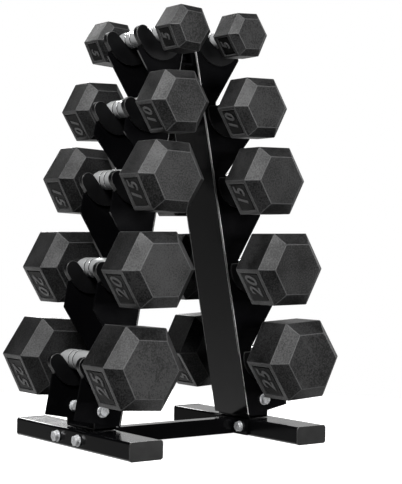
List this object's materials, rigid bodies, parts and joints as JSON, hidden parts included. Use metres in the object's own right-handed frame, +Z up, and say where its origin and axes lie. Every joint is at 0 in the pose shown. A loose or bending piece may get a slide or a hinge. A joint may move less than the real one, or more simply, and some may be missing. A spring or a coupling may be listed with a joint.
{
  "type": "dumbbell rack with dumbbells",
  "caption": "Two-sided A-frame rack whose slanted hooks hold pairs of hexagonal dumbbells, each on two padded saddles and lifted out along its slot.",
  "frame": {"origin": "on the floor at the centre of the bounding box", "axes": "+Z up, X across the frame from the left upright to the right one, Y along the handles and the floor tubes"},
  "size_m": [0.3945, 0.306, 0.5986],
  "materials": {
    "black_paint": "gloss",
    "zinc": "satin",
    "chrome": "polished",
    "rubber": "matt",
    "pad_plastic": "satin"
  },
  "bodies": {
    "rack": {"left_foot_tube": "black_paint", "left_foot_bracket": "black_paint", "left_upright": "black_paint", "right_foot_tube": "black_paint", "right_foot_bracket": "black_paint", "right_upright": "black_paint", "crossbar": "black_paint", "top_tie": "zinc", "left_05_front_pad": "pad_plastic", "left_05_rear_pad": "pad_plastic", "right_05_front_pad": "pad_plastic", "right_05_rear_pad": "pad_plastic", "left_10_front_pad": "pad_plastic", "left_10_rear_pad": "pad_plastic", "right_10_front_pad": "pad_plastic", "right_10_rear_pad": "pad_plastic", "left_15_front_pad": "pad_plastic", "left_15_rear_pad": "pad_plastic", "right_15_front_pad": "pad_plastic", "right_15_rear_pad": "pad_plastic", "left_20_front_pad": "pad_plastic", "left_20_rear_pad": "pad_plastic", "right_20_front_pad": "pad_plastic", "right_20_rear_pad": "pad_plastic", "left_25_front_pad": "pad_plastic", "left_25_rear_pad": "pad_plastic", "right_25_front_pad": "pad_plastic", "right_25_rear_pad": "pad_plastic"},
    "dumbbell_left_05": {"left_05_handle": "chrome", "left_05_front_head": "rubber", "left_05_rear_head": "rubber"},
    "dumbbell_right_05": {"right_05_handle": "chrome", "right_05_front_head": "rubber", "right_05_rear_head": "rubber"},
    "dumbbell_left_10": {"left_10_handle": "chrome", "left_10_front_head": "rubber", "left_10_rear_head": "rubber"},
    "dumbbell_right_10": {"right_10_handle": "chrome", "right_10_front_head": "rubber", "right_10_rear_head": "rubber"},
    "dumbbell_left_15": {"left_15_handle": "chrome", "left_15_front_head": "rubber", "left_15_rear_head": "rubber"},
    "dumbbell_right_15": {"right_15_handle": "chrome", "right_15_front_head": "rubber", "right_15_rear_head": "rubber"},
    "dumbbell_left_20": {"left_20_handle": "chrome", "left_20_front_head": "rubber", "left_20_rear_head": "rubber"},
    "dumbbell_right_20": {"right_20_handle": "chrome", "right_20_front_head": "rubber", "right_20_rear_head": "rubber"},
    "dumbbell_left_25": {"left_25_handle": "chrome", "left_25_front_head": "rubber", "left_25_rear_head": "rubber"},
    "dumbbell_right_25": {"right_25_handle": "chrome", "right_25_front_head": "rubber", "right_25_rear_head": "rubber"}
  },
  "joints": [
    {"name": "lift_left_05", "type": "slide", "parent": "rack", "child": "dumbbell_left_05", "axis": [-0.5519, 0, 0.8339], "range_m": [0, 0.16]},
    {"name": "lift_right_05", "type": "slide", "parent": "rack", "child": "dumbbell_right_05", "axis": [0.5519, 0, 0.8339], "range_m": [0, 0.16]},
    {"name": "lift_left_10", "type": "slide", "parent": "rack", "child": "dumbbell_left_10", "axis": [-0.5519, 0, 0.8339], "range_m": [0, 0.03]},
    {"name": "lift_right_10", "type": "slide", "parent": "rack", "child": "dumbbell_right_10", "axis": [0.5519, 0, 0.8339], "range_m": [0, 0.03]},
    {"name": "lift_left_15", "type": "slide", "parent": "rack", "child": "dumbbell_left_15", "axis": [-0.5519, 0, 0.8339], "range_m": [0, 0.011]},
    {"name": "lift_right_15", "type": "slide", "parent": "rack", "child": "dumbbell_right_15", "axis": [0.5519, 0, 0.8339], "range_m": [0, 0.011]},
    {"name": "lift_left_20", "type": "slide", "parent": "rack", "child": "dumbbell_left_20", "axis": [-0.5519, 0, 0.8339], "range_m": [0, 0.026]},
    {"name": "lift_right_20", "type": "slide", "parent": "rack", "child": "dumbbell_right_20", "axis": [0.5519, 0, 0.8339], "range_m": [0, 0.026]},
    {"name": "lift_left_25", "type": "slide", "parent": "rack", "child": "dumbbell_left_25", "axis": [-0.5519, 0, 0.8339], "range_m": [0, 0.022]},
    {"name": "lift_right_25", "type": "slide", "parent": "rack", "child": "dumbbell_right_25", "axis": [0.5519, 0, 0.8339], "range_m": [0, 0.022]}
  ]
}
